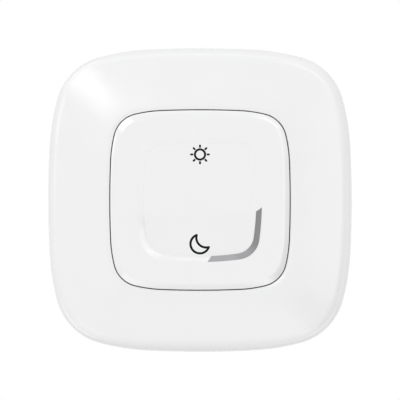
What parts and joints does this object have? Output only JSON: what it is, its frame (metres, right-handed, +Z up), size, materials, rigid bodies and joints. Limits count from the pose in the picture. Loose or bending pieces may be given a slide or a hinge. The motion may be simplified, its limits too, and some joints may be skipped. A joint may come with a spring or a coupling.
{
  "type": "wireless scene switch",
  "caption": "Wall-mounted battery radio switch with one rocker key in a soft-cornered square plate, with a sun and a moon print and a light strip in its finger scoop",
  "frame": {"origin": "middle of the switch's back, on the wall plane", "axes": "X to the right seen from the room, Z up, and the front looks along -Y"},
  "size_m": [0.093, 0.0146, 0.093],
  "materials": {
    "white_plastic": "satin white moulding",
    "milky_plastic": "translucent grey light strip, unlit",
    "backing_plastic": "light grey moulding",
    "housing_plastic": "grey moulding",
    "guide_plastic": "natural low-friction plastic",
    "clear_plastic": "clear moulding",
    "foam_tape": "dark foam tape",
    "board_laminate": "green solder mask",
    "chip_resin": "black moulding resin",
    "shield_metal": "tinned sheet",
    "contact_metal": "nickel-plated spring sheet",
    "cell_steel": "satin steel can",
    "spring_steel": "drawn wire",
    "screw_steel": "zinc-plated steel"
  },
  "bodies": {
    "housing": {"adhesive_pad_upper_left": "foam_tape", "adhesive_pad_upper_right": "foam_tape", "adhesive_pad_lower_left": "foam_tape", "adhesive_pad_lower_right": "foam_tape", "mounting_plate": "backing_plastic", "cover_plate": "white_plastic", "rear_housing": "housing_plastic", "battery_cover": "housing_plastic", "battery": "cell_steel", "battery_negative_contact": "contact_metal", "battery_positive_contact": "contact_metal", "circuit_board": "board_laminate", "radio_module": "shield_metal", "controller_chip": "chip_resin", "timing_crystal": "shield_metal", "indicator_diode": "milky_plastic", "front_housing": "housing_plastic", "light_guide": "clear_plastic", "upper_snap_dome": "contact_metal", "lower_snap_dome": "contact_metal", "upper_return_spring": "spring_steel", "lower_return_spring": "spring_steel", "housing_screws": "screw_steel"},
    "key": {"key_cap": "white_plastic", "key_lens": "milky_plastic", "key_carrier": "backing_plastic"},
    "upper_plunger": {"upper_plunger": "guide_plastic"},
    "lower_plunger": {"lower_plunger": "guide_plastic"}
  },
  "joints": [
    {"name": "key_rocker", "type": "hinge", "parent": "housing", "child": "key", "pos_m": [0, -0.0117, 0], "axis": [1, 0, 0], "range_deg": [-1.6, 1.6], "stiffness_Nm_per_rad": 0.08},
    {"name": "upper_plunger_slide", "type": "slide", "parent": "housing", "child": "upper_plunger", "axis": [0, 1, 0], "range_m": [-0.00045, 0.00045], "deforming": ["upper_return_spring", "upper_snap_dome"]},
    {"name": "lower_plunger_slide", "type": "slide", "parent": "housing", "child": "lower_plunger", "axis": [0, 1, 0], "range_m": [-0.00045, 0.00045], "deforming": ["lower_return_spring", "lower_snap_dome"]}
  ],
  "couplings": [
    {"joint": "upper_plunger_slide", "follows": "key_rocker", "m_per_rad": -0.016},
    {"joint": "lower_plunger_slide", "follows": "key_rocker", "m_per_rad": 0.016}
  ]
}
